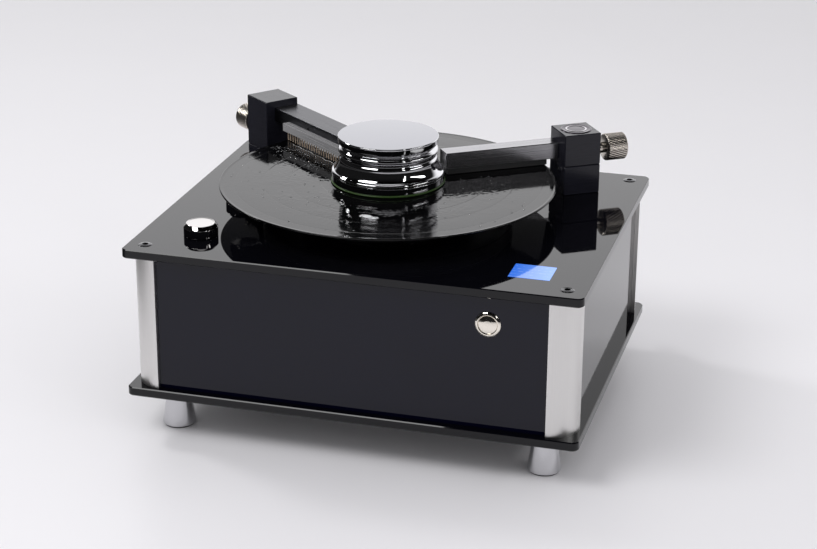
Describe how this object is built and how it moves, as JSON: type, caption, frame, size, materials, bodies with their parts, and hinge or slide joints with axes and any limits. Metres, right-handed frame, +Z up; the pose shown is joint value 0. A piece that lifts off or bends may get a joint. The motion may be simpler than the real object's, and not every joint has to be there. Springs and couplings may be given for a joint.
{
  "type": "record cleaning machine",
  "caption": "Record cleaning machine: black plates on round aluminium columns and cone feet, a clamped record on a turntable, and a brush arm and a suction arm that swing over it.",
  "frame": {"origin": "on the floor, under the middle of the overall box", "axes": "+X right along the front edge, +Y to the back, +Z up"},
  "size_m": [0.408, 0.3426, 0.2421],
  "materials": {
    "black_acrylic": "gloss",
    "column_aluminium": "satin anodised",
    "foot_chrome": "polished",
    "black_screw": "satin",
    "zinc_screw": "satin",
    "rubber": "matte",
    "bearing_steel": "turned",
    "platter_black": "satin",
    "mat_rubber": "matte",
    "vinyl": "gloss, grooved",
    "pulley_aluminium": "turned",
    "motor_steel": "satin",
    "clamp_chrome": "polished",
    "seal_green": "satin",
    "arm_black": "black anodised, gloss",
    "pivot_steel": "ground",
    "knurled_steel": "knurled",
    "holder_steel": "brushed",
    "bristle": "hair",
    "lip_velvet": "velvet",
    "cap_polished": "polished, bare",
    "display_glass": "gloss",
    "display_body": "matte",
    "button_chrome": "polished",
    "nut_brass": "satin",
    "knob_chrome": "polished",
    "encoder_metal": "satin",
    "tank_plastic": "satin, translucent",
    "pump_plastic": "satin",
    "turbine_plastic": "satin",
    "tap_chrome": "polished",
    "inlet_plastic": "satin",
    "supply_metal": "satin",
    "board_green": "satin",
    "hose_silicone": "satin",
    "air_hose_black": "matte"
  },
  "bodies": {
    "chassis": {"bottom_plate": "black_acrylic", "top_plate": "black_acrylic", "front_panel": "black_acrylic", "rear_panel": "black_acrylic", "left_panel": "black_acrylic", "right_panel": "black_acrylic", "corner_columns": "column_aluminium", "feet": "foot_chrome", "foot_pads": "rubber", "foot_bolts": "zinc_screw", "top_plate_screws": "black_screw", "base_screws": "black_screw", "bearing_housing": "bearing_steel", "bearing_screws": "zinc_screw", "drive_motor": "motor_steel", "drive_belt": "rubber", "brush_base": "arm_black", "brush_pivot": "pivot_steel", "suction_base": "arm_black", "suction_block_screw": "button_chrome", "suction_pivot": "pivot_steel", "pivot_nuts": "nut_brass", "encoder_body": "encoder_metal", "display_glass": "display_glass", "display_module": "display_body", "button_bezel": "button_chrome", "button_nut": "nut_brass", "filler_neck": "knob_chrome", "clean_tank": "tank_plastic", "fluid_pump": "pump_plastic", "waste_tank": "tank_plastic", "suction_turbine": "turbine_plastic", "drain_tap": "tap_chrome", "mains_inlet": "inlet_plastic", "power_supply": "supply_metal", "control_board": "board_green", "air_hoses": "air_hose_black", "fluid_hoses": "hose_silicone"},
    "turntable": {"spindle_shaft": "pivot_steel", "platter": "platter_black", "platter_mat": "mat_rubber", "record_disc": "vinyl", "driven_pulley": "pulley_aluminium"},
    "motor_drive": {"motor_pulley": "pulley_aluminium"},
    "clamp": {"clamp_body": "clamp_chrome", "clamp_seal": "seal_green"},
    "brush_arm": {"brush_head": "arm_black", "brush_beam": "arm_black", "brush_holder": "holder_steel", "brush_bristles": "bristle"},
    "brush_lock": {"brush_thumb_screw": "knurled_steel"},
    "suction_arm": {"suction_head": "arm_black", "suction_head_cap": "cap_polished", "suction_tube": "arm_black", "suction_lips": "lip_velvet"},
    "suction_lock": {"suction_thumb_screw": "knurled_steel"},
    "menu_knob": {"control_knob": "knob_chrome"},
    "power_button": {"button_cap": "button_chrome"},
    "filler_stopper": {"filler_cap": "knob_chrome"},
    "drain_handle": {"drain_lever": "tap_chrome"}
  },
  "joints": [
    {"name": "turntable_spin", "type": "hinge", "parent": "chassis", "child": "turntable", "pos_m": [-0.00701, -0.00625, 0.18], "axis": [0, 0, 1], "continuous": true},
    {"name": "motor_spin", "type": "hinge", "parent": "chassis", "child": "motor_drive", "pos_m": [-0.00701, -0.09125, 0.107], "axis": [0, 0, 1], "continuous": true},
    {"name": "clamp_lift", "type": "slide", "parent": "turntable", "child": "clamp", "axis": [0, 0, 1], "range_m": [0, 0.06]},
    {"name": "brush_arm_swing", "type": "hinge", "parent": "chassis", "child": "brush_arm", "pos_m": [-0.1583, 0.11583, 0.193], "axis": [0, 0, 1], "range_deg": [-70, 0]},
    {"name": "brush_lock_turn", "type": "hinge", "parent": "brush_arm", "child": "brush_lock", "pos_m": [-0.1583, 0.11583, 0.1984], "axis": [-0.7782, 0.628, 0], "range_deg": [0, 180]},
    {"name": "suction_arm_swing", "type": "hinge", "parent": "chassis", "child": "suction_arm", "pos_m": [0.14202, 0.09541, 0.213], "axis": [0, 0, 1], "range_deg": [0, 75]},
    {"name": "suction_lock_turn", "type": "hinge", "parent": "suction_arm", "child": "suction_lock", "pos_m": [0.14202, 0.09541, 0.21], "axis": [0.8261, 0.5635, 0], "range_deg": [0, 180]},
    {"name": "menu_knob_turn", "type": "hinge", "parent": "chassis", "child": "menu_knob", "pos_m": [-0.14291, -0.11805, 0.18], "axis": [0, 0, 1], "continuous": true},
    {"name": "power_button_press", "type": "slide", "parent": "chassis", "child": "power_button", "axis": [0, 1, 0], "range_m": [0, 0.0018], "stiffness_N_per_m": 1200, "springref_m": -0.0008},
    {"name": "filler_cap_lift", "type": "slide", "parent": "chassis", "child": "filler_stopper", "axis": [0, 0, 1], "range_m": [0, 0.012]},
    {"name": "drain_lever_turn", "type": "hinge", "parent": "chassis", "child": "drain_handle", "pos_m": [0.15399, 0.15325, 0.0728], "axis": [0, 0, 1], "range_deg": [-90, 0]}
  ],
  "couplings": [
    {"joint": "motor_spin", "follows": "turntable_spin", "ratio": 3.6087}
  ]
}
